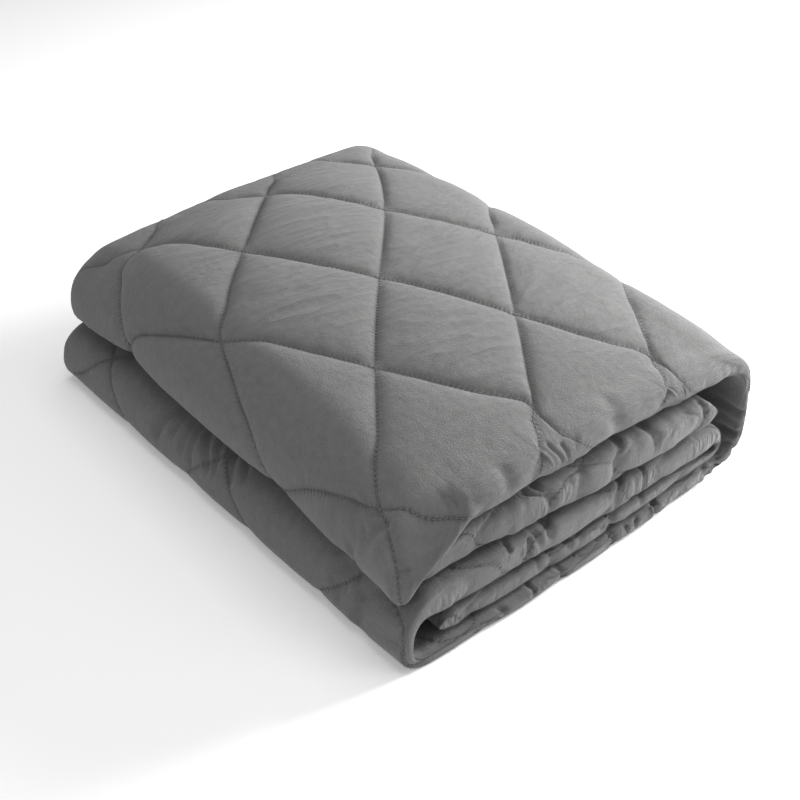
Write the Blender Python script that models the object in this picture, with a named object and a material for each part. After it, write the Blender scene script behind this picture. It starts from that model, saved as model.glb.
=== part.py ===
"""Weighted blanket, folded into a stack: one diamond-quilted cloth laid back and forth.

The blanket is folded in three across its width, which makes one thick strip with rounded ends.
The strip is then laid back and forth in five layers. The solid is the strip's section, drawn
along Y: X runs across the stack, Z is up and the floor is at Z = 0.

Along the strip the order is: second layer, left fold, top layer, right wrap, bottom layer,
lower left fold, middle layer, inner right fold and inner layer.
"""
import math
from collections import namedtuple

import bmesh
import bpy
import numpy as np

MM = 0.001

# Driving dimensions, in metres
DIAMOND_ALONG = 195 * MM        # a diamond's long diagonal, along the folds
LENGTH = 511 * MM               # stack along Y
WIDTH = 400 * MM                # stack along X
LAYER_GAP = 1.4 * MM            # air between two layers
SEAM_DEPTH = 6.0 * MM           # how far a seam pulls a face in
SEAM_SHARE = 0.26               # the most of a half thickness that a seam takes
PUFF_POWER = 0.55               # the lower, the flatter a diamond's middle
FLOOR_PRESS = 2.4 * MM          # what reaches this near the floor lies flat on it
END_SEAM = 0.5                  # share of that pull on the rounded ends
EDGE_SCALLOP = 3.0 * MM         # how far a seam draws the rounded ends in
END_RADIUS = 26 * MM            # rounding of a thick layer's end
END_SLIM = 0.55                 # a thin layer's end is rounded by this share of its thickness
END_LEAST = 2 * MM              # and by this on top
END_BLUNT = 0.5                 # 1 for an elliptic end, less for a blunter one
TOP_BLUNT = 0.3                 # added to it on the top layer, whose end is softer
TOP_RADIUS = 12 * MM            # and longer by this
CORNER_PINCH = 0.85             # how far the near left corner's two upper layers are pressed down
PINCH_ACROSS = 58 * MM          # over this width
PINCH_ALONG = (25 * MM, -5 * MM)  # from where it starts to where it is full, along Y
HANG = (22 * MM, 17 * MM, 15 * MM)  # how far the left fold hangs over the one below, near to far
HANG_ACROSS = 20 * MM           # over this width
HANG_HEIGHT = 60 * MM           # and this height, in which it dies out upwards
UPPER_CELLS = 15.0              # the two upper layers' last cell along the strip
SLUMP_LENGTH = 110 * MM         # how far from the far end the two upper layers thin out
FAR_SLUMP = (0.24, 0.14, -0.05)  # by this share there, at the left, centre and right

# The grid follows the seams: six cells to a diamond's diagonal each way. Along the strip the
# short diagonal is about 148 mm, which sets the layers' and folds' cell counts below.
CELLS = 6
CELL_ALONG = DIAMOND_ALONG / CELLS
FIRST_ROW = 49 * MM             # first row of seam crossings, from the near end
FLAT_ROWS = 14                  # grid rows between the rounded ends
FOLD_STEPS = 3                  # grid steps to a cell in a fold
FOLD_EASE = 0.4                 # share of a fold over which the thickness changes
PATH_POINTS = 121               # points that measure a fold's length
END_STEP = 0.3                  # cells from the strip's free end to its full thickness
END_SHARE = 0.82                # share of the thickness there
BACK_CELLS = 2.6                # cells by which the inner face's pattern is longer than the outer's

# Grid rows round the rounded ends: angle in degrees, and cells along at each end
Round = namedtuple("Round", "angle near_cells far_cells")
ROUND_ROWS = (Round(24, -1.0, 14.0), Round(57, -1.5, 14.4), Round(90, -2.0, 14.7))

# Folding and stuffing pull the sewing askew. Each row moves one seam crossing, given in cells
# across and along, and the move fades around it. The second table moves the seams' near ends.
Crossing = namedtuple("Crossing", "across along moved_across moved_along")
CROSSINGS = (
    Crossing(0, 12, 1.5, 0.4), Crossing(3, 9, 0.7, 0.5), Crossing(6, 6, 0.3, -0.1),
    Crossing(9, 3, -0.3, -0.4), Crossing(12, 0, -0.8, -0.5), Crossing(0, 6, 0.5, 0.7),
    Crossing(3, 3, 0.0, 0.0), Crossing(6, 0, -0.4, -0.4), Crossing(-3, 9, 1.5, 1.7),
    Crossing(-3, 3, 1.4, 0.6), Crossing(0, 0, -0.3, -0.2), Crossing(6, 12, 1.4, 0.5),
    Crossing(9, 9, 0.9, 0.0), Crossing(12, 6, 0.3, 0.2),
)
CROSSING_SPREAD = 4.5           # cells over which a move fades
FIRST_SHOWN = -4.5              # first cell of the strip that is moved, below the left fold
NearEnd = namedtuple("NearEnd", "across moved")
NEAR_ENDS = (
    NearEnd(-4, 0.0), NearEnd(-2, 0.0), NearEnd(2, -0.9), NearEnd(4, 0.4), NearEnd(8, -1.4),
    NearEnd(10, 0.4), NearEnd(14, -1.9), NearEnd(17, 0.0), NearEnd(20, 0.0), NearEnd(22, 1.1),
    NearEnd(26, -0.5), NearEnd(28, -0.1), NearEnd(32, -1.2), NearEnd(34, 0.0), NearEnd(38, 1.3),
    NearEnd(40, 0.3), NearEnd(44, 0.7), NearEnd(46, -0.2), NearEnd(50, 0.0), NearEnd(56, -0.1),
    NearEnd(58, 0.6), NearEnd(62, 0.3), NearEnd(63, 0.0),
)

# One row for each layer, from the floor up. x0 and x1 are where it starts and ends, going along
# the strip, and cells is its length. near_t, middle_t and far_t are its thickness in mm at the
# left, centre and right, for the near end, the middle and the far end of the stack. near is how
# far its near end stands out, in mm, at the left, centre and right.
Layer = namedtuple("Layer", "name x0 x1 cells near_t middle_t far_t near")
LAYERS = (
    Layer("bottom", 334 * MM, 36 * MM, 12, (13, 13, 29), (13, 15, 24), (13, 15, 23), (9, 8, -6)),
    Layer("inner", 334 * MM, 32 * MM, 12, (20, 19, 8), (15, 18, 12), (15, 19, 12), (3, 3, -2)),
    Layer("middle", 36 * MM, 340 * MM, 12, (32, 31, 28), (26, 32, 30), (27, 33, 30), (4, 6, 2)),
    Layer("second", 336 * MM, 47 * MM, 12, (30, 38, 27), (45, 45, 37), (43, 41, 36), (-8, 7, 3)),
    Layer("top", 47 * MM, 334 * MM, 12, (26, 35, 22), (48, 54, 35), (42, 48, 40), (6, 5, 1)),
)

# One row for each fold. reach is how far the strip's mid line goes past the layers' ends, lean
# brings its upper half in and its lower half out, and square is 1 for an ellipse and less for a
# squarer turn. outside and inside are the strip's half thicknesses halfway round, and far is what
# reach gains towards the far end.
Fold = namedtuple("Fold", "name side reach lean square outside inside cells far")
FOLDS = (
    Fold("left fold", -1, 30 * MM, 18 * MM, 0.85, 20 * MM, 7 * MM, 4, -10 * MM),
    Fold("right wrap", 1, 50 * MM, 4 * MM, 0.58, 6 * MM, 6 * MM, 8, 0.0),
    Fold("lower left fold", -1, 33 * MM, 8 * MM, 0.5, 9 * MM, 4 * MM, 4, 5 * MM),
    Fold("inner right fold", 1, 16 * MM, 6 * MM, 0.85, 5 * MM, 3 * MM, 2, 0.0),
)

# The strip, from its first free end to its last
STRIP = ("second", "left fold", "top", "right wrap", "bottom", "lower left fold", "middle",
         "inner right fold", "inner")
CELLS_BEFORE_CROSSING = 15.0    # cells from the strip's start to the crossing by the left fold

COVER_GREY = (0.205, 0.205, 0.203, 1.0)


def ease(t):
    """Smooth step from 0 to 1."""
    t = np.clip(t, 0.0, 1.0)
    return t * t * (3.0 - 2.0 * t)


def through_three(values, t):
    """Smooth curve through three values at t = 0, 0.5 and 1."""
    a, b, c = values
    return a * (2 * t - 1) * (t - 1) + b * 4 * t * (1 - t) + c * t * (2 * t - 1)


def layer_thickness(layer, x, y):
    """Full thickness of a layer at a place in the stack."""
    across = np.clip(x / WIDTH, 0.0, 1.0)
    along = np.clip(y / LENGTH, 0.0, 1.0)
    rows = [through_three(row, across) for row in (layer.near_t, layer.middle_t, layer.far_t)]
    slump = 0.0
    if layer.name in ("top", "second"):
        far = ease((y - LENGTH + SLUMP_LENGTH) / SLUMP_LENGTH)
        slump = through_three(FAR_SLUMP, across) * far
    return through_three(rows, along) * (1 - slump) * MM


def layer_height(layer, x, y):
    """Height of a layer's mid surface, with the layers below it stacked from the floor."""
    height = 0.0
    for below in LAYERS:
        thick = layer_thickness(below, x, y)
        if below.name == layer.name:
            return height + thick / 2
        height = height + thick + LAYER_GAP


def near_reach(layer, x):
    """How far a layer's near end stands out of the stack's near face."""
    return through_three(layer.near, np.clip(x / WIDTH, 0.0, 1.0)) * MM


def fold_path(fold, start, end, steps, y):
    """Even points on a fold's mid line between two layers' ends, with the way round as a share."""
    angle = np.linspace(0.0, math.pi, PATH_POINTS)
    half = (start[1] - end[1]) / 2
    upper = np.sign(np.cos(angle)) * np.abs(np.cos(angle)) ** fold.square
    out = np.sin(angle) ** fold.square
    base = start[0] + (end[0] - start[0]) * angle / math.pi
    tilt = fold.lean * np.sin(angle) * np.cos(angle) * np.sign(half)
    reach = fold.reach + fold.far * y / LENGTH
    x = base + fold.side * (reach * out - tilt)
    z = (start[1] + end[1]) / 2 + half * upper
    run = np.concatenate(([0.0], np.cumsum(np.hypot(np.diff(x), np.diff(z)))))
    share = run / run[-1]
    even = np.linspace(0.0, 1.0, steps + 1)[1:-1]
    return np.interp(even, share, x), np.interp(even, share, z), even


def strip_section(y):
    """Mid line of the whole strip at one distance from the near end.

    Gives x, z, outer and inner half thickness, near reach and cell count of each grid column.
    """
    layers = {layer.name: layer for layer in LAYERS}
    folds = {fold.name: fold for fold in FOLDS}
    columns = []
    cell = -CELLS_BEFORE_CROSSING
    for place, name in enumerate(STRIP):
        if name in layers:
            layer = layers[name]
            steps = np.arange(layer.cells + 1.0)
            if place == 0:
                steps[1] = END_STEP
            if place == len(STRIP) - 1:
                steps[-2] = layer.cells - END_STEP
            for step in steps:
                x = layer.x0 + (layer.x1 - layer.x0) * step / layer.cells
                half = layer_thickness(layer, x, y) / 2
                columns.append((x, layer_height(layer, x, y), half, half, near_reach(layer, x),
                                cell + step))
            cell += layer.cells
        else:
            fold = folds[name]
            before, after = layers[STRIP[place - 1]], layers[STRIP[place + 1]]
            start = (before.x1, layer_height(before, before.x1, y))
            end = (after.x0, layer_height(after, after.x0, y))
            halves = (layer_thickness(before, before.x1, y) / 2,
                      layer_thickness(after, after.x0, y) / 2)
            reaches = (near_reach(before, before.x1), near_reach(after, after.x0))
            steps = fold.cells * FOLD_STEPS
            for x, z, share in zip(*fold_path(fold, start, end, steps, y)):
                to_fold = ease(share / FOLD_EASE) * ease((1 - share) / FOLD_EASE)
                flat = halves[0] + (halves[1] - halves[0]) * ease(share)
                reach = reaches[0] + (reaches[1] - reaches[0]) * ease(share)
                columns.append((x, z, flat + (fold.outside - flat) * to_fold,
                                flat + (fold.inside - flat) * to_fold, reach,
                                cell + share * fold.cells))
            cell += fold.cells
    return np.array(columns).T


def puff(across, along):
    """Quilted rise from 0 on a seam to 1 in a diamond's middle, from grid cells each way."""
    one = np.abs(np.sin(math.pi * (along + across) / CELLS))
    other = np.abs(np.sin(math.pi * (along - across) / CELLS))
    return (one * other) ** PUFF_POWER


def grid_rows():
    """Grid rows along Y: place of each row, angle round the rounded end and cells along."""
    rows = [("near", math.radians(row.angle), row.near_cells) for row in reversed(ROUND_ROWS)]
    for row in range(FLAT_ROWS):
        rows.append((FIRST_ROW + row * CELL_ALONG, 0.0, float(row)))
    rows.extend(("far", math.radians(row.angle), row.far_cells) for row in ROUND_ROWS)
    return rows


def back_cells(along):
    """Cells along for the inner face, whose seams carry on round both ends from the outer's."""
    near, far = ROUND_ROWS[-1].near_cells, ROUND_ROWS[-1].far_cells
    return 2 * near - along - BACK_CELLS * (along - near) / (far - near)


def base_skin():
    """The smooth skin by grid row and column, before quilting.

    For each point: x, y and z of the outer and of the inner face, outward normal x and z, the
    half thicknesses and the share of them left at a rounded end.
    """
    skin = []
    for place, angle, _ in grid_rows():
        flat_y = {"near": 0.0, "far": LENGTH}.get(place, place)
        x, z, outside, inside, reach, cells = strip_section(flat_y)
        on_top = ease((cells + 3) / 4) * ease((17 - cells) / 6)
        blunt = END_BLUNT + TOP_BLUNT * on_top
        outward, upright = math.sin(angle) ** blunt, round(math.cos(angle), 6) ** blunt
        radius = np.minimum(END_RADIUS, END_SLIM * (outside + inside) + END_LEAST)
        radius = radius + TOP_RADIUS * on_top
        if place == "near":
            y = radius * (1 - outward) - reach
        elif place == "far":
            y = LENGTH - radius * (1 - outward)
        else:
            y = np.full_like(x, flat_y)
        left = upright * np.ones_like(x)
        left[[0, -1]] = 0.0
        left[[1, -2]] *= END_SHARE
        slope_x, slope_z = np.gradient(x), np.gradient(z)
        size = np.hypot(slope_x, slope_z)
        normal_x, normal_z = -slope_z / size, slope_x / size
        skin.append(np.stack((x + normal_x * outside * left, y, z + normal_z * outside * left,
                              x - normal_x * inside * left, y, z - normal_z * inside * left,
                              normal_x, normal_z, outside, inside, left), axis=1))
    return np.array(skin)


def seam_shift(across, along):
    """How far the pattern is moved across and along at each grid point, in cells."""
    table = np.array(CROSSINGS, float)

    def nearness(a, b):
        gaps = (a[..., None] - table[:, 0]) ** 2 + (b[..., None] - table[:, 1]) ** 2
        return np.exp(-gaps / (2 * CROSSING_SPREAD ** 2))

    own = nearness(table[:, 0], table[:, 1]) + 0.01 * np.eye(len(table))
    moved = nearness(across, along) @ np.linalg.solve(own, table[:, 2:])
    at_end = np.interp(across, *zip(*NEAR_ENDS))
    near = ease((1.0 - along) / 2.0)
    near_rim, far_rim = ROUND_ROWS[-1].near_cells, ROUND_ROWS[-1].far_cells
    inside = ease((along - near_rim) / 1.5) * ease((far_rim - along) / 2.0)
    shows = ease((across - FIRST_SHOWN) / 3.0) * ease((across.max() - across) / 2.0)
    moved_across = moved[..., 0] * (1 - near) + at_end * near
    return moved_across * shows, moved[..., 1] * inside * shows


def sample(values, alongs, cells, along, across):
    """Values of a grid, given at alongs and cells, at other places on it."""
    along, across = np.clip(along, alongs[0], alongs[-1]), np.clip(across, cells[0], cells[-1])
    i = np.clip(np.searchsorted(alongs, along, side="right") - 1, 0, len(alongs) - 2)
    j = np.clip(np.searchsorted(cells, across, side="right") - 1, 0, len(cells) - 2)
    u = ((along - alongs[i]) / (alongs[i + 1] - alongs[i]))[..., None]
    v = ((across - cells[j]) / (cells[j + 1] - cells[j]))[..., None]
    near = values[i, j] * (1 - v) + values[i, j + 1] * v
    far = values[i + 1, j] * (1 - v) + values[i + 1, j + 1] * v
    return near * (1 - u) + far * u


def blanket_faces():
    """Points and quilted rise of the strip's outer and inner face, by grid row and column."""
    rows = grid_rows()
    alongs = np.array([along for _, _, along in rows])
    cells = strip_section(0.0)[5]
    across, along = np.meshgrid(cells, alongs)
    moved_across, moved_along = seam_shift(across, along)
    skin = base_skin()
    for points in (skin[..., 0:3], skin[..., 3:6]):
        settle_left(points, cells)
    skin = sample(skin, alongs, cells, along + moved_along, across + moved_across)
    outer, inner = skin[..., 0:3].copy(), skin[..., 3:6].copy()
    outer_rise, inner_rise = puff(across, along), puff(across, back_cells(along))
    on_end = np.maximum(ease((0.3 - along) / 1.0), ease((along - 12.7) / 1.0))
    for points, rise, half, side in ((outer, outer_rise, skin[..., 8], 1.0),
                                     (inner, inner_rise, skin[..., 9], -1.0)):
        pull = np.minimum(SEAM_DEPTH, SEAM_SHARE * half) * (1 - rise) * skin[..., 10]
        pull = pull * (1 - (1 - END_SEAM) * on_end)
        points[..., 0] -= side * skin[..., 6] * pull
        points[..., 2] -= side * skin[..., 7] * pull
        for row, (place, _, _) in enumerate(rows):
            draw = {"near": 1.0, "far": -1.0}.get(place, 0.0)
            points[row, :, 1] += draw * EDGE_SCALLOP * (1 - outer_rise[row])
    return outer, inner, outer_rise, inner_rise


def settle_left(points, cells):
    """Press the near left corner of the two upper layers down, and let their left fold hang."""
    x, y, z = points[..., 0], points[..., 1], points[..., 2]
    second = next(layer for layer in LAYERS if layer.name == "second")
    base = layer_height(second, x, y) - layer_thickness(second, x, y) / 2
    start, full = PINCH_ALONG
    press = np.clip(1 - x / PINCH_ACROSS, 0.0, 1.0) * ease((start - y) / (start - full))
    above, below = np.maximum(z - base, 0.0), np.minimum(z - base, 0.0)
    hang = through_three(HANG, np.clip(y / LENGTH, 0.0, 1.0)) * ease(1 - x / HANG_ACROSS)
    hang = hang * (1 - ease(above / HANG_HEIGHT))
    settled = base + below + above * (1 - CORNER_PINCH * press) - hang
    points[..., 2] = np.where(cells < UPPER_CELLS, settled, z)


def press_on_floor(points):
    """Flatten what lies on the floor or would reach below it."""
    height = points[..., 2]
    height[height < FLOOR_PRESS] = 0.0


def face_grid(model, points, rise, flip):
    """Add one face of the strip as a grid, each cell split along its lower diagonal."""
    rows, columns = rise.shape
    first = len(model.faces)
    verts = bmesh.ops.create_grid(model, x_segments=columns - 1, y_segments=rows - 1,
                                  size=1.0)["verts"]
    for vert, place in zip(verts, points.reshape(-1, 3)):
        vert.co = place
    model.faces.ensure_lookup_table()
    cells = model.faces[first:]
    for number, cell in enumerate(cells):
        row, column = divmod(number, columns - 1)
        corner = row * columns + column
        falls = rise[row, column] + rise[row + 1, column + 1]
        rises = rise[row, column + 1] + rise[row + 1, column]
        at_corner = row in (0, rows - 2) and column in (0, columns - 2)
        falling = (row == 0) == (column == 0) if at_corner else falls <= rises
        if falling:
            ends = verts[corner], verts[corner + columns + 1]
        else:
            ends = verts[corner + 1], verts[corner + columns]
        bmesh.utils.face_split(cell, *ends)
    if flip:
        faces = list({face for vert in verts for face in vert.link_faces})
        bmesh.ops.reverse_faces(model, faces=faces)


def centre_on_base(model):
    """Move the points so that the middle of the base is the origin."""
    points = np.array([vert.co for vert in model.verts])
    middle = (points.min(axis=0) + points.max(axis=0)) / 2
    bmesh.ops.translate(model, verts=model.verts, vec=(-middle[0], -middle[1], 0.0))


def build_blanket():
    """The folded blanket as one closed, quilted solid."""
    outer, inner, outer_rise, inner_rise = blanket_faces()
    for points in (outer, inner):
        press_on_floor(points)
    model = bmesh.new()
    face_grid(model, outer, outer_rise, flip=False)
    face_grid(model, inner, inner_rise, flip=True)
    bmesh.ops.remove_doubles(model, verts=model.verts, dist=0.001 * MM)
    centre_on_base(model)
    mesh = bpy.data.meshes.new("blanket")
    model.to_mesh(mesh)
    model.free()
    mesh.shade_smooth()
    blanket = bpy.data.objects.new("blanket", mesh)
    mesh.materials.append(cover_material())
    return blanket


def cover_material():
    """Matte grey micro-fibre cloth."""
    material = bpy.data.materials.new("grey_microfibre")
    material.use_nodes = True
    shader = material.node_tree.nodes["Principled BSDF"]
    shader.inputs["Base Color"].default_value = COVER_GREY
    shader.inputs["Roughness"].default_value = 0.9
    shader.inputs["Metallic"].default_value = 0.0
    return material


for leftover in list(bpy.data.objects):
    bpy.data.objects.remove(leftover, do_unlink=True)
collection = bpy.data.collections.new("folded_weighted_blanket")
bpy.context.scene.collection.children.link(collection)
collection.objects.link(build_blanket())
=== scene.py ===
# %% [markdown]
# # A folded weighted blanket
# A weighted blanket is two soft cloths sewn together in diamonds, with beads and fibre between
# them. Here it is folded in three across its width, and the thick strip that this makes is laid
# back and forth in five layers. The lesson builds its skin as one mesh from a short table of
# layers and folds, then adds the sewing, the puckers and the cloth's own look.

# %% Load the measured model
import math
from collections import namedtuple
from functools import partial

import bpy
import numpy as np
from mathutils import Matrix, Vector


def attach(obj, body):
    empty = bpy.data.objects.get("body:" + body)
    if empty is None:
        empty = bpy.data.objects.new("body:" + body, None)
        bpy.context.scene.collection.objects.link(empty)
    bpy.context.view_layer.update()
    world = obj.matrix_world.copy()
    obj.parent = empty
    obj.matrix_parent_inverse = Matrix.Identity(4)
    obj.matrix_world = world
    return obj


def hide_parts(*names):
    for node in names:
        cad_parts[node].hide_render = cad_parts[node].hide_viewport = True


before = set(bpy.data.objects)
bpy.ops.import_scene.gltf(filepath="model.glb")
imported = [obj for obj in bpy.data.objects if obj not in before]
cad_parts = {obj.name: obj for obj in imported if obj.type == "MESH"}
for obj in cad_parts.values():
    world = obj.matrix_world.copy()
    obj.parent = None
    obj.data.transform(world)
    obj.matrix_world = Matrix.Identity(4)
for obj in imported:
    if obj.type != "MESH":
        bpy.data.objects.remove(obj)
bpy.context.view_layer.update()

MM = 0.001

# %% [markdown]
# ## The stack, from a short table
# The real blanket is one cloth, so its shape is one path: second layer, left fold, top, right
# wrap, bottom, lower left fold, middle, inner right fold and inner layer. A modeller could sculpt
# the stack by hand, but a table keeps every layer's thickness readable, and the skin can then be
# as fine as the light needs. Each row gives a layer's thickness at nine places.

# %% Sizes of the stack
LENGTH = 511 * MM               # stack along Y
WIDTH = 400 * MM                # stack along X
LAYER_GAP = 1.4 * MM            # air between two layers
END_RADIUS = 26 * MM            # rounding of a thick layer's end
END_SLIM = 0.55                 # a thin layer's end is rounded by this share of its thickness
END_LEAST = 2 * MM              # and by this on top
END_BLUNT = 0.5                 # 1 for an elliptic end, less for a blunter one
TOP_BLUNT = 0.3                 # added to it on the top layer, whose end is softer
TOP_RADIUS = 12 * MM            # and longer by this
TOP_SPAN = (-3, 17)             # between these cells of the strip
TOP_FADES = (4, 6)              # where it comes in and goes over so many cells
EDGE_SCALLOP = 3.0 * MM         # how far a seam draws the near end in
BAND_SLOT = 1.2 * MM            # by this a band's face draws back beside the gap at the near end
FAR_SHARE = 0.4                 # the far end's share of the near end's seams, wrinkles and softness
CORNER_PINCH = 0.85             # how far the near left corner's two upper layers are pressed down
PINCH_ACROSS = 58 * MM          # over this width
PINCH_ALONG = (25 * MM, -5 * MM)  # from where it starts to where it is full, along Y
HANG = (22 * MM, 17 * MM, 15 * MM)  # how far the left fold hangs over the one below, near to far
HANG_ACROSS = 20 * MM           # over this width
HANG_HEIGHT = 60 * MM           # and this height, in which it dies out upwards
UPPER_CELLS = 15.0              # the two upper layers' last cell along the strip
SLUMP_LENGTH = 110 * MM         # how far from the far end the two upper layers thin out
FAR_SLUMP = (0.24, 0.14, -0.05)  # by this share there, at the left, centre and right

Layer = namedtuple("Layer", "name x0 x1 cells near_t middle_t far_t near")
LAYERS = (
    Layer("bottom", 334 * MM, 36 * MM, 12, (13, 13, 29), (13, 15, 24), (13, 15, 23), (9, 8, -6)),
    Layer("inner", 334 * MM, 32 * MM, 12, (20, 19, 8), (15, 18, 12), (15, 19, 12), (3, 3, -2)),
    Layer("middle", 36 * MM, 340 * MM, 12, (32, 31, 28), (26, 32, 30), (27, 33, 30), (4, 6, 2)),
    Layer("second", 336 * MM, 47 * MM, 12, (30, 38, 27), (45, 45, 37), (43, 41, 36), (-8, 7, 3)),
    Layer("top", 47 * MM, 334 * MM, 12, (26, 35, 22), (48, 54, 35), (42, 48, 40), (6, 5, 1)),
)
Fold = namedtuple("Fold", "name side reach lean square outside inside cells far")
FOLDS = (
    Fold("left fold", -1, 30 * MM, 18 * MM, 0.85, 20 * MM, 7 * MM, 4, -10 * MM),
    Fold("right wrap", 1, 50 * MM, 4 * MM, 0.58, 6 * MM, 6 * MM, 8, 0.0),
    Fold("lower left fold", -1, 33 * MM, 8 * MM, 0.5, 9 * MM, 4 * MM, 4, 5 * MM),
    Fold("inner right fold", 1, 16 * MM, 6 * MM, 0.85, 5 * MM, 3 * MM, 2, 0.0),
)
STRIP = ("second", "left fold", "top", "right wrap", "bottom", "lower left fold", "middle",
         "inner right fold", "inner")
START_CELL = -15.0              # the strip's first free end, in grid cells
FOLD_EASE = 0.4                 # share of a fold over which the thickness changes
print("layers:", len(LAYERS), "folds:", len(FOLDS))


# %% Thickness and height of a layer
def ease(t):
    """Smooth step from 0 to 1."""
    t = np.clip(t, 0.0, 1.0)
    return t * t * (3.0 - 2.0 * t)


def through_three(values, t):
    """Smooth curve through three values at t = 0, 0.5 and 1."""
    a, b, c = values
    return a * (2 * t - 1) * (t - 1) + b * 4 * t * (1 - t) + c * t * (2 * t - 1)


def layer_thickness(layer, x, y):
    """Full thickness of a layer at a place in the stack."""
    across = np.clip(x / WIDTH, 0.0, 1.0)
    along = np.clip(y / LENGTH, 0.0, 1.0)
    rows = [through_three(row, across) for row in (layer.near_t, layer.middle_t, layer.far_t)]
    slump = 0.0
    if layer.name in ("top", "second"):
        far = ease((y - LENGTH + SLUMP_LENGTH) / SLUMP_LENGTH)
        slump = through_three(FAR_SLUMP, across) * far
    return through_three(rows, along) * (1 - slump) * MM


def near_reach(layer, x):
    """How far a layer's near end stands out towards the viewer."""
    return through_three(layer.near, np.clip(x / WIDTH, 0.0, 1.0)) * MM


def layer_height(layer, x, y):
    """Height of a layer's mid surface, with the layers below it stacked from the floor."""
    height = 0.0
    for below in LAYERS:
        thick = layer_thickness(below, x, y)
        if below.name == layer.name:
            return height + thick / 2
        height = height + thick + LAYER_GAP


PART = {part.name: part for part in LAYERS + FOLDS}
top = PART["top"]
middle = 0.5 * WIDTH, 0.5 * LENGTH
crown = layer_height(top, *middle) + layer_thickness(top, *middle) / 2
print("stack height in the middle, mm:", round(float(crown) * 1000, 1))

# %% [markdown]
# ## One section of the strip
# A section of the real stack, cut across the folds, is one long wandering line with a thickness
# on each side. A curve object with a bevel could follow that line, but its thickness changes all
# the way, so the section is worked out here and the skin is drawn through many of them.


# %% The strip's path at one distance from the near end
def fold_path(fold, start, end, share, y):
    """Points of a fold's mid line at even shares of its length, between two layers' ends."""
    angle = np.linspace(0.0, math.pi, 181)
    half = (start[1] - end[1]) / 2
    upper = np.sign(np.cos(angle)) * np.abs(np.cos(angle)) ** fold.square
    out = np.sin(angle) ** fold.square
    tilt = fold.lean * np.sin(angle) * np.cos(angle) * np.sign(half)
    reach = fold.reach + fold.far * y / LENGTH
    x = start[0] + (end[0] - start[0]) * angle / math.pi + fold.side * (reach * out - tilt)
    z = (start[1] + end[1]) / 2 + half * upper
    run = np.concatenate(([0.0], np.cumsum(np.hypot(np.diff(x), np.diff(z)))))
    return np.interp(share, run / run[-1], x), np.interp(share, run / run[-1], z)


def section(y, stations):
    """x, z, outer and inner half thickness and near reach at each station along the strip."""
    found = np.zeros((5, len(stations)))
    cell = START_CELL
    for place, name in enumerate(STRIP):
        piece = PART[name]
        share = (stations - cell) / piece.cells
        here = (share >= 0) & (share <= 1)
        share = share[here]
        if isinstance(piece, Layer):
            x = piece.x0 + (piece.x1 - piece.x0) * share
            half = layer_thickness(piece, x, y) / 2
            reach = near_reach(piece, x)
            found[:, here] = x, layer_height(piece, x, y), half, half, reach
        else:
            ends = PART[STRIP[place - 1]], PART[STRIP[place + 1]]
            xs = ends[0].x1, ends[1].x0
            points = [(x, layer_height(end, x, y)) for end, x in zip(ends, xs)]
            halves = [layer_thickness(end, x, y) / 2 for end, x in zip(ends, xs)]
            reaches = [near_reach(end, x) for end, x in zip(ends, xs)]
            bend = ease(share / FOLD_EASE) * ease((1 - share) / FOLD_EASE)
            flat = halves[0] + (halves[1] - halves[0]) * ease(share)
            reach = reaches[0] + (reaches[1] - reaches[0]) * ease(share)
            x, z = fold_path(piece, points[0], points[1], share, y)
            found[:, here] = (x, z, flat + (piece.outside - flat) * bend,
                              flat + (piece.inside - flat) * bend, reach)
        cell += piece.cells
    return found


# %% [markdown]
# ## Grid cells that follow the sewing
# Six cells make one diamond's diagonal, both along the strip and along the folds, so every seam
# runs through the grid's own corners and stays a crisp valley however the cloth turns.

# %% Grid
CELLS = 6                       # grid cells to a diamond's diagonal
FINE = 10                       # fine steps to a cell
CELL_ALONG = 195 * MM / CELLS   # a diamond's long diagonal is 195 mm
CELL_ACROSS = 148 * MM / CELLS  # and its short one about 148 mm
SEAM_PITCH = CELL_ACROSS * CELL_ALONG * CELLS / math.hypot(CELL_ACROSS, CELL_ALONG)
FIRST_ROW = 49 * MM             # first row of seam crossings, from the near end
LAST_CELL = 13                  # the last row that lies flat
LAST_ROW = FIRST_ROW + LAST_CELL * CELL_ALONG
SHARP_DIP, SOFT_DIP = 2.4 * MM, 14 * MM  # widths of a seam's two dips, one in the other
BACK_CELLS = 2.6                # cells by which the inner face's pattern is longer
NEAR_RIM = -2.0                 # cells along where the near end's two faces meet
FAR_RIM = 14.7
ROUND_NEAR = ((-2.0, 90.0), (-1.5, 57.0), (-1.0, 24.0), (-0.7, 0.0))
ROUND_FAR = ((13.5, 0.0), (14.0, 24.0), (14.4, 57.0), (14.7, 90.0))

alongs = np.arange(round(NEAR_RIM * FINE), round(FAR_RIM * FINE) + 1) / FINE
strip_cells = sum(PART[name].cells for name in STRIP)
stations = np.arange(0, strip_cells * FINE + 1) / FINE + START_CELL
print("grid:", len(stations), "by", len(alongs), "points a face")

# %% [markdown]
# ## The smooth skin
# The real strip is a flat tube: its two outer cloths meet in a round fold at each end. The skin
# does the same. Each section is placed at its own distance along the folds, and the last few
# close over the rounded ends, where a superellipse keeps the end blunt, as a full fold is.


# %% Base surfaces of the two faces
PATH_SMOOTHING = 0.22           # cells over which layers and folds run into each other


def seam_distance(across, along):
    """Distances to the nearest seam of each family, in metres."""
    places = (along + across) / CELLS, (along - across) / CELLS
    return [np.abs(place - np.round(place)) * SEAM_PITCH for place in places]


def back_cells(along):
    """Cells along on the inner face, whose seams carry on round both ends from the outer's."""
    return 2 * NEAR_RIM - along - BACK_CELLS * (along - NEAR_RIM) / (FAR_RIM - NEAR_RIM)


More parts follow.
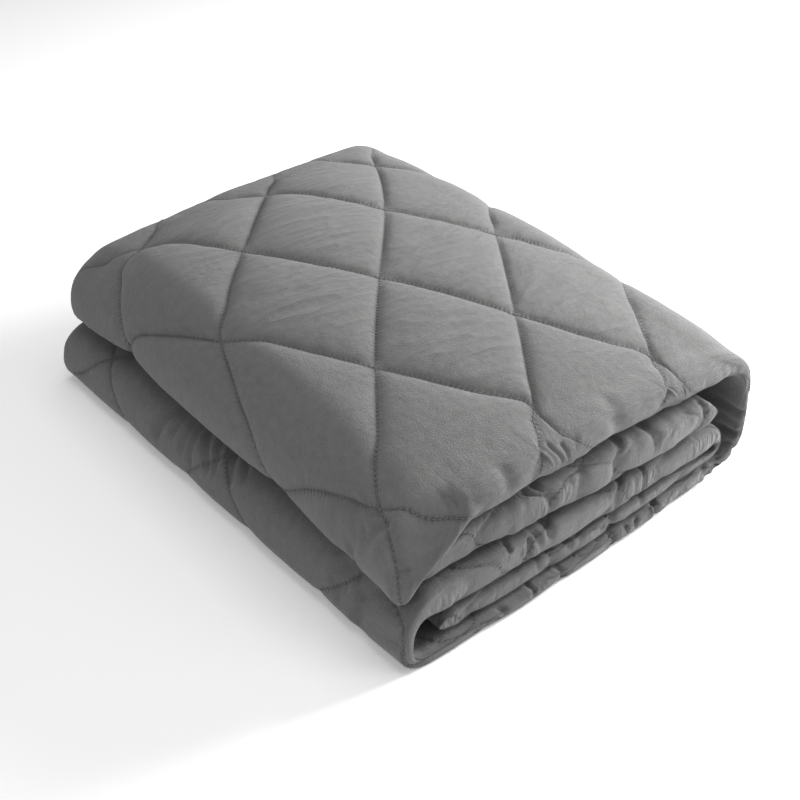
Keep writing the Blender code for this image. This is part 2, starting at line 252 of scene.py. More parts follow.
def rise(across, along):
    """Height of the quilting from 0 on a seam to 1 in a diamond's middle."""
    height = 1.0
    for gap in seam_distance(across, along):
        sharp, soft = np.exp(-gap / SHARP_DIP), np.exp(-gap / SOFT_DIP)
        height = height * (1 - 0.30 * sharp - 0.70 * soft)
    return height


def place_rows():
    """For each row: the distance used for the section, angle round an end and share to flat."""
    rows = []
    turn = LENGTH - END_RADIUS - FAR_SHARE * TOP_RADIUS
    for along in alongs:
        if along <= ROUND_NEAR[-1][0]:
            angle = np.interp(along, *zip(*ROUND_NEAR))
            rows.append((0.0, math.radians(angle), 0.0, "near"))
        elif along < 0:
            share = 1 - along / ROUND_NEAR[-1][0]
            rows.append((FIRST_ROW * share, 0.0, share, "near"))
        elif along <= LAST_CELL:
            rows.append((FIRST_ROW + along * CELL_ALONG, 0.0, 1.0, "flat"))
        elif along < ROUND_FAR[0][0]:
            share = (along - LAST_CELL) / (ROUND_FAR[0][0] - LAST_CELL)
            rows.append((LAST_ROW + (turn - LAST_ROW) * share, 0.0, 1 - share, "far"))
        else:
            angle = math.radians(np.interp(along, *zip(*ROUND_FAR)))
            rows.append((turn + (LENGTH - turn) * math.sin(angle), angle, 0.0, "far"))
    return rows


def free_end(stations):
    """Share of the full thickness near the strip's two free ends, which are rounded."""
    from_end = np.minimum(stations - stations[0], stations[-1] - stations)
    return (1 - (1 - np.clip(from_end, 0, 1)) ** 3) ** 0.5


def smooth_across(values, width):
    """Gaussian smoothing along the strip, in fine steps."""
    reach = int(width * 3)
    weights = np.exp(-0.5 * (np.arange(-reach, reach + 1) / width) ** 2)
    padded = np.pad(values, reach, mode="reflect", reflect_type="odd")
    return np.convolve(padded, weights / weights.sum(), mode="valid")


def base_faces():
    """Points of both faces and the half thicknesses, by row and station, before quilting."""
    outer, inner, halves = [], [], []
    for (flat_y, angle, share, end), along in zip(place_rows(), alongs):
        x, z, outside, inside, reach = section(flat_y, stations)
        x, z, outside, inside = (smooth_across(v, PATH_SMOOTHING * FINE)
                                 for v in (x, z, outside, inside))
        on_top = ease((stations - TOP_SPAN[0]) / TOP_FADES[0])
        on_top = on_top * ease((TOP_SPAN[1] - stations) / TOP_FADES[1])
        blunt = END_BLUNT + TOP_BLUNT * on_top
        radius = np.minimum(END_RADIUS, END_SLIM * (outside + inside) + END_LEAST)
        radius = radius + TOP_RADIUS * on_top * (FAR_SHARE if end == "far" else 1.0)
        scallop = EDGE_SCALLOP * (1 - rise(stations, along)) * (1 - share)
        upright = max(math.cos(angle), 0.0) ** blunt
        outward = math.sin(angle) ** blunt
        if end == "near":
            y = (radius * (1 - outward) - reach + scallop) * (1 - share) + FIRST_ROW * share
        elif end == "far":
            y = (LENGTH - radius * (1 - outward) - FAR_SHARE * scallop) * (1 - share)
            y = y + LAST_ROW * share
        else:
            y = np.full_like(x, flat_y)
        slope_x, slope_z = np.gradient(x), np.gradient(z)
        size = np.hypot(slope_x, slope_z)
        thick = upright * free_end(stations)
        slot = BAND_SLOT * upright * (1 - share) * (1 - on_top) * (end == "near")
        for face, half, side in ((outer, outside, 1.0), (inner, inside, -1.0)):
            away = np.maximum(half * thick - slot, 0.0) / size
            face.append(np.stack((x - side * slope_z * away, y, z + side * slope_x * away), axis=1))
        halves.append((outside * thick, inside * thick))
    return np.array(outer), np.array(inner), np.array(halves)


def settle_left(points):
    """Press the near left corner of the two upper layers down, and let their left fold hang."""
    x, y, z = points[..., 0], points[..., 1], points[..., 2]
    second = PART["second"]
    base = layer_height(second, x, y) - layer_thickness(second, x, y) / 2
    start, full = PINCH_ALONG
    press = np.clip(1 - x / PINCH_ACROSS, 0.0, 1.0) * ease((start - y) / (start - full))
    above, below = np.maximum(z - base, 0.0), np.minimum(z - base, 0.0)
    hang = through_three(HANG, np.clip(y / LENGTH, 0.0, 1.0)) * ease(1 - x / HANG_ACROSS)
    hang = hang * (1 - ease(above / HANG_HEIGHT))
    settled = base + below + above * (1 - CORNER_PINCH * press) - hang
    points[..., 2] = np.where(stations < UPPER_CELLS, settled, z)


# %% [markdown]
# ## Seams where they really lie
# The sewing is regular on the flat blanket, but folding and stuffing pull it askew. Each row moves
# one seam crossing by some cells, and the move fades smoothly around it. A second table moves the
# seams' ends on the near faces, layer by layer. The points slide over the smooth surface, so the
# shape stays and only the pattern on it shifts.

# %% Shift the pattern over the surface
CROSSINGS = (                   # across, along, moved across, moved along, in cells
    (0, 12, 1.5, 0.4), (3, 9, 0.7, 0.5), (6, 6, 0.3, -0.1), (9, 3, -0.3, -0.4),
    (12, 0, -0.8, -0.5), (0, 6, 0.5, 0.7), (3, 3, 0.0, 0.0), (6, 0, -0.4, -0.4),
    (-3, 9, 1.5, 1.7), (-3, 3, 1.4, 0.6), (0, 0, -0.3, -0.2), (6, 12, 1.4, 0.5),
    (9, 9, 0.9, 0.0), (12, 6, 0.3, 0.2))
CROSSING_SPREAD = 4.5           # cells over which a move fades
END_MOVES = (                   # the same near the top's near end, without a move along
    (0.5, -0.5, 0.24), (1.0, -1.0, 0.5), (-0.5, -0.5, 0.16), (-0.8, -0.8, 0.3), (5.7, -0.3, 0.1),
    (5.3, -0.7, -0.24), (5.0, -1.0, -0.25), (4.6, -1.4, -0.14), (4.1, -1.9, 0.1),
    (6.5, -0.5, -0.18), (7.0, -1.0, -0.28), (7.5, -1.5, -0.38), (8.0, -2.0, -0.49),
    (11.6, -0.4, -0.22), (11.4, -0.6, -0.42), (11.1, -0.9, -0.46), (10.5, -1.5, -0.15),
    (12.4, -0.4, -0.28), (12.6, -0.6, -0.39), (13.3, -1.3, -0.66), (14.0, -2.0, -0.83))
END_SPREAD = 0.8
NEAR_ENDS = (                   # station, moved across at the near rim
    (-15, 0.0), (-14, -0.4), (-10, 0.1), (-8, 1.1), (-4, 0.0), (-2, 0.0), (2, -0.9), (4, 0.4),
    (8, -1.4), (10, 0.4), (14, -1.9), (17, 0.0), (20, 0.0), (22, 1.1), (26, -0.5), (28, -0.1),
    (32, -1.2), (34, 0.0), (38, 1.3), (40, 0.3), (44, 0.7), (46, -0.2), (50, 0.0), (56, -0.1),
    (58, 0.6), (62, 0.3), (63, 0.0))
NEAR_START, NEAR_FADE = 1.0, 2.0  # cells along where these moves begin, and over how many
RIM_FADES = (1.5, 3.5)          # cells from the two rims over which moves along come in


def spread_moves(table, spread, across, along):
    """Moves of a table's places, spread smoothly over the grid."""
    table = np.array(table, float)

    def near_to(a, b):
        gaps = (a[..., None] - table[:, 0]) ** 2 + (b[..., None] - table[:, 1]) ** 2
        return np.exp(-gaps / (2 * spread ** 2))

    own = near_to(table[:, 0], table[:, 1]) + 0.01 * np.eye(len(table))
    return near_to(across, along) @ np.linalg.solve(own, table[:, 2:])


def seam_shift():
    """How far the pattern is moved across and along at each grid point, in cells."""
    across, along = np.meshgrid(stations, alongs)
    moved = spread_moves(CROSSINGS, CROSSING_SPREAD, across, along)
    ends = smooth_across(np.interp(stations, *zip(*NEAR_ENDS)), 0.5 * FINE)
    near = ease((NEAR_START - along) / NEAR_FADE)
    inside = ease((along - NEAR_RIM) / RIM_FADES[0]) * ease((FAR_RIM - along) / RIM_FADES[1])
    at_end = spread_moves(END_MOVES, END_SPREAD, across, along)[..., 0]
    return moved[..., 0] * (1 - near) + ends * near + at_end, moved[..., 1] * inside


def sample(values, across, along):
    """Values of a grid at other places on it."""
    column = np.clip((across - stations[0]) * FINE, 0, values.shape[1] - 1.001)
    row = np.clip((along - alongs[0]) * FINE, 0, values.shape[0] - 1.001)
    i, j = row.astype(int), column.astype(int)
    u, v = row - i, column - j
    if values.ndim == 3:
        u, v = u[..., None], v[..., None]
    return ((values[i, j] * (1 - v) + values[i, j + 1] * v) * (1 - u)
            + (values[i + 1, j] * (1 - v) + values[i + 1, j + 1] * v) * u)


outer, inner, halves = base_faces()
for points in (outer, inner):
    settle_left(points)
across_grid, along_grid = np.meshgrid(stations, alongs)
moved_across, moved_along = seam_shift()
new_place = across_grid + moved_across, along_grid + moved_along
outer, inner = sample(outer, *new_place), sample(inner, *new_place)
outside_half, inside_half = (sample(halves[:, face], *new_place) for face in (0, 1))
print("largest moves, cells:", *(abs(move).max().round(2) for move in (moved_across, moved_along)))
print("outer face spans, mm:", np.ptp(outer.reshape(-1, 3), axis=0).round(3) * 1000)

# %% [markdown]
# ## Quilting and puckers
# Where thread pulls two cloths together, they dip to a sharp valley and the fill pushes up
# between the seams. The thread also gathers the cloth along its own line, and that throws short
# wrinkles across it. A texture could fake both, but real height catches light from every side,
# so the larger ones are in the mesh and only the finest are left to the material's bump.


# %% Creases placed one by one
Crease = namedtuple("Crease", "across along end_across end_along half_width depth")
CREASE_WIDTH = 1.15 * MM        # a crease's half width and depth in the table are drawn this large
CREASE_DEPTH = 1.8 * MM
# Both ends in cells. A depth below 0 is a ridge.
CREASES = {
    "outer": (
        (14.4, -1, 14.5, -2, 2.6, 0.5), (14.9, -1.3, 15, -2, 2.2, 0.4),
        (15.4, -1.4, 15.4, -2, 2.2, 0.4), (9.9, -1.1, 9.8, -2, 2.4, 0.5),
        (9.6, -1.3, 9.5, -2, 2.4, 0.5), (9.35, -0.9, 9.3, -2, 2.6, 0.6),
        (9.1, -1.1, 9.05, -2, 2.6, 0.5), (8.7, -0.4, 8.8, -2, 3, 1),
        (3.2, -0.9, 3.1, -2, 2.6, 1.2), (5.6, -1, 5.7, -2, 2.4, 1.2), (6.3, -1.2, 6.2, -2, 2.4, 1),
        (18.9, -1, 18.9, -2, 2.2, 1.2), (19.7, -2, 19.8, -1.1, 3, 2.2),
        (20.2, -2, 20.2, -1.1, 2.6, 1.8), (22.6, -2, 22.7, -1.2, 3, 2.2),
        (26, -2, 26.1, -1.2, 2.2, 1.2), (28.3, -2, 28.3, -1.2, 2.2, 1.2),
        (57.8, -2, 57.9, -1.3, 2.2, 1.2), (55.7, -2, 55.6, -1.3, 2.2, 1.2),
        (38.6, -0.9, 38.6, -1.6, 2.6, 2.4), (40, -1.4, 39.9, -2, 2.6, 2),
        (40.2, -1, 40.4, -2, 2.2, 1.2), (40.8, -0.8, 40.8, -1.9, 2.6, 2.4),
        (43.9, -0.8, 43.6, -2, 2.6, 1.8), (45.4, -0.9, 45.4, -2, 2.6, 1.8),
        (-8.9, -1.6, -8.9, -2, 2.6, 1.4), (-10, -2, -10, -1.5, 2.6, 1.4),
        (-7.95, -2, -7.9, -1.5, 2.6, 1.8), (-0.15, -0.3, -1, 0.05, 3.6, 3),
        (0, -0.05, -1.5, 0.5, 3.8, 1.5), (-0.7, 0.6, -1.7, 0.8, 6.5, 1.6),
        (-0.35, -0.5, -0.7, -0.35, 2, 1.3), (-0.4, -0.65, -0.75, -0.5, 2, 1.3),
        (-0.45, -0.8, -0.8, -0.65, 2, 1.3), (-0.5, -1, -0.85, -0.85, 2, 1.3),
        (-0.5, -1.1, -0.7, -1.5, 2.4, -1.2), (35.9, 0.8, 35.3, 1, 3, 1.8),
        (35.8, 0.5, 35.3, 0.5, 2.6, 1.4), (35.8, 0.7, 34.9, 0.7, 3, 1.6),
        (35.7, 0.3, 35.2, 0, 2.6, 1.6), (35.5, -0.1, 34.6, 0, 3.8, 3),
        (34.8, -0.7, 35.1, -0.9, 2.6, 1.4), (36.5, 8.4, 35.3, 8.8, 4.6, 3.5),
        (36.4, 7.7, 35.4, 7.6, 3, 2.4), (36.3, 7.4, 35.2, 7.2, 3, 2.6),
        (36.3, 7.1, 35.4, 6.4, 3, 2.4), (36.4, 6.6, 35.5, 6.1, 3, 2.2), (36.4, 6, 35.6, 5.4, 3, 2),
        (36.5, 8.1, 35.6, 8.1, 3, 2.2), (36.4, 5.4, 35.9, 5, 2.6, 1.6), (-3, 9, -4.2, 8.6, 3, 2.4),
        (-3.2, 9, -4.3, 9.5, 2.6, 2), (1.4, -0.7, 1.3, -0.9, 2.2, 1.2),
        (1.6, -0.8, 1.6, -1.1, 2.2, 1.2), (-0.3, 0.3, -1.3, 1, 3, 1.6),
        (-0.2, 0, -0.9, 0.5, 2.6, 1.6), (-0.4, -0.3, -0.9, -0.1, 2.4, 1.4),
        (-0.9, 0.2, -1.6, 0.5, 3.4, 1.8),),
    "inner": (
        (14.5, -1.4, 14.5, -2, 2.6, 0.8), (15.4, -1.1, 16, -1.6, 2.2, 1.4),
        (17.2, -0.3, 17.2, -2, 2.6, 2), (17.7, -0.5, 17.7, -2, 2.6, 0.9),
        (18.2, -0.5, 18.1, -2, 3, 2.4), (18.7, -0.8, 18.7, -2, 2.4, 1.4),
        (19.6, -0.9, 19.7, -2, 3.2, 3), (20, -1, 20, -2, 2.4, 2), (20.4, -1, 20.4, -2, 2.4, 2),
        (22.6, -0.9, 22.6, -2, 3.4, 4), (22.9, -1.2, 23, -2, 2.2, -1.2),
        (24.3, -1.2, 24.4, -2, 2.6, 1.6), (25.1, -1.2, 25.1, -2, 2.6, 1.4),
        (26, -0.8, 26, -2, 2.2, 1.4), (28.3, -0.7, 28.3, -2, 2.2, 1.2),
        (30, -0.7, 30.1, -2, 2.2, 1.4), (31.8, -0.9, 31.7, -2, 2.2, 1.4),
        (58.4, -0.8, 58.4, -2, 2.2, 1.2), (57.9, -0.8, 57.8, -2, 2.2, 1.4),
        (57.3, -0.8, 57.2, -2, 2.2, 1.4), (56.9, -0.9, 56.8, -2, 2.2, 1.4),
        (55.7, -0.9, 55.6, -2, 2.6, 1.6), (54.2, -0.9, 54.2, -2, 2.6, 1.6),
        (39.9, -1.5, 39.9, -2, 2.4, 1.6), (43.6, -1.5, 43.6, -2, 2.4, 1.4),
        (45.4, -1.5, 45.4, -2, 2.4, 1.4), (-6.8, -1.1, -7.9, -2, 2.6, 2),
        (-7.4, -1, -7.95, -2, 2.6, 2), (-8.9, -1.3, -8.9, -2, 2.6, 1.6),
        (-10.3, -0.9, -10, -2, 3, 1.8), (-11.4, -0.9, -11.6, -2, 3, 1.8),
        (-13.9, -1, -14, -2, 2.6, 1.6),),
}
DRAG_RADIUS = 48 * MM           # how far each group of long wrinkles reaches
DRAG_SPOTS = (                  # across, along and strength of the long wrinkles
    (3.0, 6.0, 1.0), (5.7, 2.9, 1.0), (5.6, 8.8, 1.0), (8.7, 6.1, 0.9), (11.4, 3.0, 0.8),
    (12.4, 0.4, 0.7), (2.5, 10.6, 0.6), (11.5, 6.5, 0.7), (8.5, 10.8, 0.8))


def creases(face, across, along):
    """Height that the creases of one face add, in metres."""
    total = np.zeros_like(across)
    scale = np.array((CELL_ACROSS, CELL_ALONG))
    x, y = across * CELL_ACROSS, along * CELL_ALONG
    for crease in (Crease(*row) for row in CREASES[face]):
        start = np.array((crease.across, crease.along)) * scale
        run = np.array((crease.end_across, crease.end_along)) * scale - start
        share = np.clip(((x - start[0]) * run[0] + (y - start[1]) * run[1]) / (run @ run), 0, 1)
        gap = np.hypot(x - start[0] - share * run[0], y - start[1] - share * run[1])
        fall = np.exp(-(gap / (CREASE_WIDTH * crease.half_width)) ** 2)
        total -= CREASE_DEPTH * crease.depth * fall
    return total


print("creases placed by hand:", {face: len(rows) for face, rows in CREASES.items()})


# %% Noise on the cloth's own coordinates
Wave = namedtuple("Wave", "length width height")    # of one wrinkle, with its height in mm
LONG_WAVE, SHORT_WAVE = Wave(80 * MM, 10 * MM, 0.8), Wave(45 * MM, 6 * MM, 0.35)
WANDER, WANDER_STEP = 7 * MM, 60 * MM   # how far a long wrinkle strays, and over what distance
DRAG_ELSEWHERE = 0.25           # strength of the long wrinkles away from their spots
PUCKER, BROAD_PUCKER = Wave(26 * MM, 5.5 * MM, 0.22), Wave(40 * MM, 12 * MM, 0.40)
PUCKER_REACH, BROAD_REACH = 6 * MM, 14 * MM     # how far from a seam each kind fades
THREAD_HALF = 2 * MM            # nearer to the thread than this, they die out
NARROW, WIDE = 7 * MM, 17 * MM  # widths of the wrinkles over the rounded ends
END_REACH, END_FADE = 2.2, 1.6  # how many cells from a rim they start, and fade in over


def hashed(ix, iy, seed):
    """A fixed random number from -1 to 1 at each whole place."""
    n = (ix.astype(np.int64) * 374761393 + iy.astype(np.int64) * 668265263 + seed * 974634777)
    n = (n ^ (n >> 13)) & 0xFFFFFFFF
    n = (n * 1274126177) & 0xFFFFFFFF
    n = n ^ (n >> 16)
    return (n & 0xFFFF) / 32767.5 - 1.0


def noise(a, b, seed):
    """Smooth noise from -1 to 1, about one bump to each unit of a and b."""
    ia, ib = np.floor(a), np.floor(b)
    fa, fb = ease(a - ia), ease(b - ib)
    low = hashed(ia, ib, seed) * (1 - fa) + hashed(ia + 1, ib, seed) * fa
    high = hashed(ia, ib + 1, seed) * (1 - fa) + hashed(ia + 1, ib + 1, seed) * fa
    return low * (1 - fb) + high * fb


def drag_wrinkles(across, along, seed):
    """Long shallow wrinkles across the blanket, left by folding it, in metres of height."""
    x, y = across * CELL_ACROSS, along * CELL_ALONG
    wander = WANDER * noise(x / WANDER_STEP, y / WANDER_STEP, seed + 40)
    long_one = noise(x / LONG_WAVE.length + 3.1, (y + wander) / LONG_WAVE.width, seed + 41)
    short_one = noise(x / SHORT_WAVE.length, (y - wander) / SHORT_WAVE.width, seed + 42)
    height = LONG_WAVE.height * long_one + SHORT_WAVE.height * short_one
    where = DRAG_ELSEWHERE
    for spot_across, spot_along, strength in DRAG_SPOTS:
        gap = np.hypot((across - spot_across) * CELL_ACROSS, (along - spot_along) * CELL_ALONG)
        where = where + strength * np.exp(-(gap / DRAG_RADIUS) ** 2)
    return height * where * rise(across, along) ** 0.5 * MM


def end_wrinkles(across, along, seed):
    """Short wrinkles that run over the rounded ends, where the cloth turns, in metres."""
    x = across * CELL_ACROSS
    narrow = noise(x / NARROW, along * 0.5, seed + 60)
    wide = noise(x / WIDE, along * 0.4, seed + 61)
    near = ease((END_REACH - along + along.min()) / END_FADE)
    far = FAR_SHARE * ease((END_REACH - along.max() + along) / END_FADE)
    return (0.9 * narrow * (0.6 + 0.4 * wide) + 0.7 * wide) * (near + far) * MM


def puckers(across, along, seed):
    """Wrinkles that the thread throws across each seam, in metres of height."""
    total = (drag_wrinkles(across, along, seed) + end_wrinkles(across, along_grid, seed)) / MM
    side = math.hypot(CELL_ACROSS, CELL_ALONG)
    gaps = seam_distance(across, along)
    for family, gap in zip((1, -1), gaps):
        run = (along * CELL_ALONG ** 2 - family * across * CELL_ACROSS ** 2) / side
        line = np.round((along + family * across) / CELLS)
        wave = noise(run / PUCKER.width + line * 17.3, gap / PUCKER.length, seed + family)
        broad = noise(run / BROAD_PUCKER.width + line * 5.1, gap / BROAD_PUCKER.length,
                      seed + 5 + family)
        height = (PUCKER.height * wave * np.exp(-gap / PUCKER_REACH)
                  + BROAD_PUCKER.height * broad * np.exp(-gap / BROAD_REACH))
        total = total + height * np.clip(gap / THREAD_HALF, 0, 1)
    return total * MM


def normals(points):
    """Unit normals of a grid of points, on the side that the grid's own turn gives."""
    along_row = np.gradient(points, axis=1)
    along_column = np.gradient(points, axis=0)
    normal = np.cross(along_row, along_column)
    size = np.linalg.norm(normal, axis=2, keepdims=True)
    return normal / np.maximum(size, 1e-12)


# %% Raise the quilting on both faces
SEAM_DEPTH = 6.5 * MM           # how far a seam pulls a face in
SEAM_SHARE = 0.30               # the most of a half thickness that a seam takes
END_SEAM = 0.5                  # share of that depth on the rounded ends
LOOSE_HALF = 9 * MM             # a face with a smaller half thickness puckers less
NEAR_TURN, FAR_TURN = 0.3, 12.7  # cells along past which a face is on a rounded end
FLOOR_PRESS = 0.8 * MM          # points this low are pressed flat on the floor
CENTRE = np.array([190.1, 250.8, 0.0]) * MM    # the stack's middle in the table's frame
RIMS = (np.s_[0, :], np.s_[-1, :], np.s_[:, 0], np.s_[:, -1])
back_grid = back_cells(along_grid)
near_share, far_share = ease(NEAR_TURN - along_grid), ease(along_grid - FAR_TURN)


def quilt(points, half, along, side, seed, face):
    """Pull the seams of one face in and add its puckers and creases."""
    pull = np.minimum(SEAM_DEPTH, SEAM_SHARE * half) * (1 - rise(across_grid, along))
    pull = pull * (1 - (1 - END_SEAM) * near_share - (1 - FAR_SHARE * END_SEAM) * far_share)
    loose = np.clip(half / LOOSE_HALF, 0, 1)
    height = puckers(across_grid, along, seed) * loose - pull
    height = height + creases(face, across_grid, along_grid)
    points += side * normals(points) * height[..., None]


quilt(outer, outside_half, along_grid, 1.0, 11, "outer")
quilt(inner, inside_half, back_grid, -1.0, 29, "inner")
for points in (outer, inner):
    points[..., 2] = np.where(points[..., 2] < FLOOR_PRESS, 0.0, points[..., 2])
for edge in RIMS:
    outer[edge] = inner[edge] = (outer[edge] + inner[edge]) / 2
outer -= CENTRE
inner -= CENTRE
both = np.concatenate((outer.reshape(-1, 3), inner.reshape(-1, 3)))
print("skin, mm:", np.ptp(both, axis=0).round(4) * 1000)

# %% [markdown]
# ## One closed mesh
# Both faces share one grid, so the mesh is two layers of cells that meet at the rims. Each cell
# is split along the diagonal that a seam may follow. The hidden layers need few faces, so
# Decimate thins those and leaves what shows.


# %% Build the skin
def add_object(name, data):
    """A new object in the scene, at the origin."""
    added = bpy.data.objects.new(name, data)
    bpy.context.scene.collection.objects.link(added)
    return added


def apply_modifiers(piece):
    """Give a piece the plain mesh that its modifiers make, and remove them."""
    graph = bpy.context.evaluated_depsgraph_get()
    made = bpy.data.meshes.new_from_object(piece.evaluated_get(graph))
    piece.modifiers.clear()
    piece.data = made


def grid_triangles(height, flip):
    """Triangles of a grid, each cell split along its lower diagonal, with loop order per face."""
    rows, columns = height.shape
    row, column = np.mgrid[0:rows - 1, 0:columns - 1]
    a = row * columns + column
    b, c, d = a + 1, a + columns + 1, a + columns
    falling = (height[:-1, :-1] + height[1:, 1:]) <= (height[:-1, 1:] + height[1:, :-1])
    falling[0, 0], falling[0, -1] = True, False
    falling[-1, 0], falling[-1, -1] = False, True
    first = np.where(falling[..., None], np.stack((a, b, c), -1), np.stack((a, b, d), -1))
    second = np.where(falling[..., None], np.stack((a, c, d), -1), np.stack((b, c, d), -1))
    triangles = np.concatenate((first.reshape(-1, 3), second.reshape(-1, 3)))
    return triangles[:, ::-1] if flip else triangles


def weld(rows, columns):
    """Numbers for the inner face's points, which share the outer's at the rims."""
    outer_number = np.arange(rows * columns).reshape(rows, columns)
    inner_number = outer_number + rows * columns
    for edge in RIMS:
        inner_number[edge] = outer_number[edge]
    return inner_number.ravel()


def build_skin():
    """The closed skin with its UV map: the cloth's own place in metres, on either face."""
    rows, columns = across_grid.shape
    numbers = weld(rows, columns)
    outside = grid_triangles(rise(across_grid, along_grid), flip=False)
    inside = grid_triangles(rise(across_grid, back_grid), flip=True)
    points = np.concatenate((outer.reshape(-1, 3), inner.reshape(-1, 3)))
    faces = np.concatenate((outside, numbers[inside]))
    flat = [np.stack((across_grid.ravel() * CELL_ACROSS, grid.ravel() * CELL_ALONG), 1)
            for grid in (along_grid, back_grid)]
    uv = np.concatenate((flat[0][outside].reshape(-1, 2), flat[1][inside].reshape(-1, 2)))
    used = np.zeros(len(points), bool)
    used[faces.ravel()] = True
    renumber = np.cumsum(used) - 1
    mesh = bpy.data.meshes.new("blanket_skin")
    mesh.vertices.add(int(used.sum()))
    mesh.vertices.foreach_set("co", points[used].astype(np.float32).ravel())
    mesh.loops.add(faces.size)
    mesh.loops.foreach_set("vertex_index", renumber[faces].astype(np.int32).ravel())
    mesh.polygons.add(len(faces))
    mesh.polygons.foreach_set("loop_start", np.arange(0, faces.size, 3, dtype=np.int32))
    layer = mesh.uv_layers.new(name="cloth")
    mesh.update(calc_edges=True)
    mesh.validate()
    mesh.uv_layers["cloth"].data.foreach_set("uv", uv.astype(np.float32).ravel())
    mesh.shade_smooth()
    return add_object("blanket_skin", mesh), used


skin, used = build_skin()
print("skin triangles:", len(skin.data.polygons))


# %% Thin out what is hidden
FACES_KEPT = 190000
SHOWN_ENDS = (1.0, 12.6)        # cells along past which both faces show
SHOWN_TOP = (-4.5, 22.0)        # cells across between which the outer face shows, top and folds
SHOWN_LEFT = (31.5, 38.5)       # and low at the left
SHOWN_HOLLOW = (10.0, 23.0)     # the same for the inner face, in the hollow at the right
HOLLOW_DEPTH = 4.0              # that many cells along


def past(limits):
    """Where the cells along lie past either limit."""
    return (along_grid < limits[0]) | (along_grid > limits[1])


def between(grid, limits):
    """Where a grid lies between two limits."""
    return (grid > limits[0]) & (grid < limits[1])


def outer_shows(ends):
    """Where the outer face shows: at both ends, on top with its folds, and low at the left."""
    return past(ends) | between(across_grid, SHOWN_TOP) | between(across_grid, SHOWN_LEFT)


def hidden_points():
    """Whether each point of the skin lies deep between the layers."""
    hollow = between(across_grid, SHOWN_HOLLOW) & (along_grid < HOLLOW_DEPTH)
    inner_shows = past(SHOWN_ENDS) | hollow
    return ~np.concatenate((outer_shows(SHOWN_ENDS).ravel(), inner_shows.ravel()))[used]


def thin_out(piece, kept):
    """Decimate the hidden part of a mesh and apply the modifier."""
    group = piece.vertex_groups.new(name="hidden")
    group.add(np.flatnonzero(hidden_points()).tolist(), 1.0, "REPLACE")
    modifier = piece.modifiers.new("thin", "DECIMATE")
    modifier.ratio = kept / len(piece.data.polygons)
    modifier.vertex_group = "hidden"
    modifier.vertex_group_factor = 1.0
    apply_modifiers(piece)
    piece.vertex_groups.clear()


thin_out(skin, FACES_KEPT)
skin.data.shade_smooth()
print("skin triangles after thinning:", len(skin.data.polygons))

# %% [markdown]
# ## Micro-fibre cloth
# The cover is brushed polyester: matte, a little mottled, with a soft sheen where it turns away.
# Colour alone looks like card, so four shared node groups add what the eye reads as cloth. One
# measures the way to the nearest seam for fine gathers and for painted shade, a dark line in each
# seam valley; one raises the brushed nap, and two draw the sharp lines of the long wrinkles and of
# the pleats over the near rim, which the mesh is too coarse for. All read the cloth's own UV map,
# in metres, so they follow each fold.


# %% Node helpers
def add_node(tree, kind, inputs=(), **settings):
    """A new node with its settings; each input is a plain value or a socket to link."""
    node = tree.nodes.new(kind)
    for name, value in settings.items():
        setattr(node, name, value)
    for place, value in dict(inputs).items():
        if isinstance(value, bpy.types.NodeSocket):
            tree.links.new(value, node.inputs[place])
        else:
            node.inputs[place].default_value = value
    return node


def cloth_group(name, setting, value, outputs=("Height",)):
    """A shader group, the two sockets it reads (the cloth's place, a setting) and its end."""
    group = bpy.data.node_groups.new(name, "ShaderNodeTree")
    new_socket = group.interface.new_socket
    new_socket(name="Cloth", in_out="INPUT", socket_type="NodeSocketVector")
    new_socket(name=setting, in_out="INPUT", socket_type="NodeSocketFloat").default_value = value
    for label in outputs:
        new_socket(name=label, in_out="OUTPUT", socket_type="NodeSocketFloat")
    start, end = group.nodes.new("NodeGroupInput"), group.nodes.new("NodeGroupOutput")
    return group, start.outputs["Cloth"], start.outputs[setting], end


def math_node(tree, operation, *values):
    """A Math node's result."""
    return add_node(tree, "ShaderNodeMath", enumerate(values), operation=operation).outputs[0]


def join_node(tree, *values):
    """A vector from three numbers or sockets."""
    return add_node(tree, "ShaderNodeCombineXYZ", enumerate(values)).outputs[0]


def split_node(tree, vector):
    """A vector's first two numbers."""
    return add_node(tree, "ShaderNodeSeparateXYZ", {0: vector}).outputs[:2]


def noise_node(tree, vector, scale, detail=2.0, roughness=0.5):
    """A Noise texture on a vector."""
    inputs = {"Vector": vector, "Scale": scale, "Detail": detail, "Roughness": roughness}
    return add_node(tree, "ShaderNodeTexNoise", inputs).outputs["Fac"]


def fade(tree, gap, width):
    """exp(-gap / width)"""
    return math_node(tree, "EXPONENT", math_node(tree, "MULTIPLY", gap, -1.0 / width))


def off_middle(tree, wave, most):
    """How far a noise is from its middle, at most this far: a sharp line where it crosses."""
    away = math_node(tree, "ABSOLUTE", math_node(tree, "SUBTRACT", wave, 0.5))
    return math_node(tree, "MINIMUM", away, most)


# %% Seam group: fine gathers and painted valley shade
STITCH_PITCH = 4.0 * MM
GATHERS_REACH, BEADS_REACH, VALLEY_SHADE_REACH = 3.5 * MM, 1.5 * MM, 1.1 * MM  # from the seam


